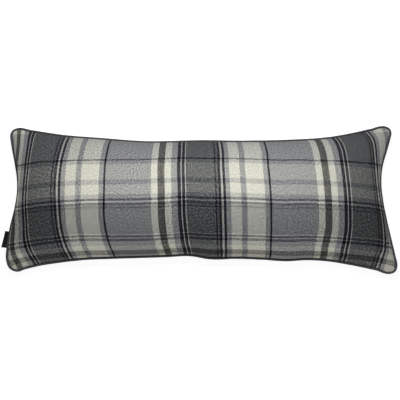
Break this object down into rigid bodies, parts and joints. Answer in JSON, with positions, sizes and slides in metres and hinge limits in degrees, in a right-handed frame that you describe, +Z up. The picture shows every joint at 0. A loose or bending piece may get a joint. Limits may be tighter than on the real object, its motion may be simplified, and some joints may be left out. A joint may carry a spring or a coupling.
{
  "type": "lumbar cushion",
  "caption": "Long filled lumbar cushion with a crowned face, drawn-in sides, blunt corner ears, a piped seam all round and a small blank side label; it lies on its back.",
  "frame": {"origin": "middle of the flat patch that the cushion's back rests on", "axes": "+X along the cushion, to the right of its face; +Y across it, to the top of its face; +Z up, out of its face"},
  "size_m": [0.9197, 0.3484, 0.1742],
  "materials": {
    "tartan": "woven twill in grey, charcoal and cream tartan, soft and matt",
    "piping": "plain charcoal bias cloth over a cord",
    "label": "black woven tape, blank, slightly shiny"
  },
  "bodies": {
    "root": {"cushion": "tartan", "piping": "piping", "label": "label"}
  },
  "joints": []
}
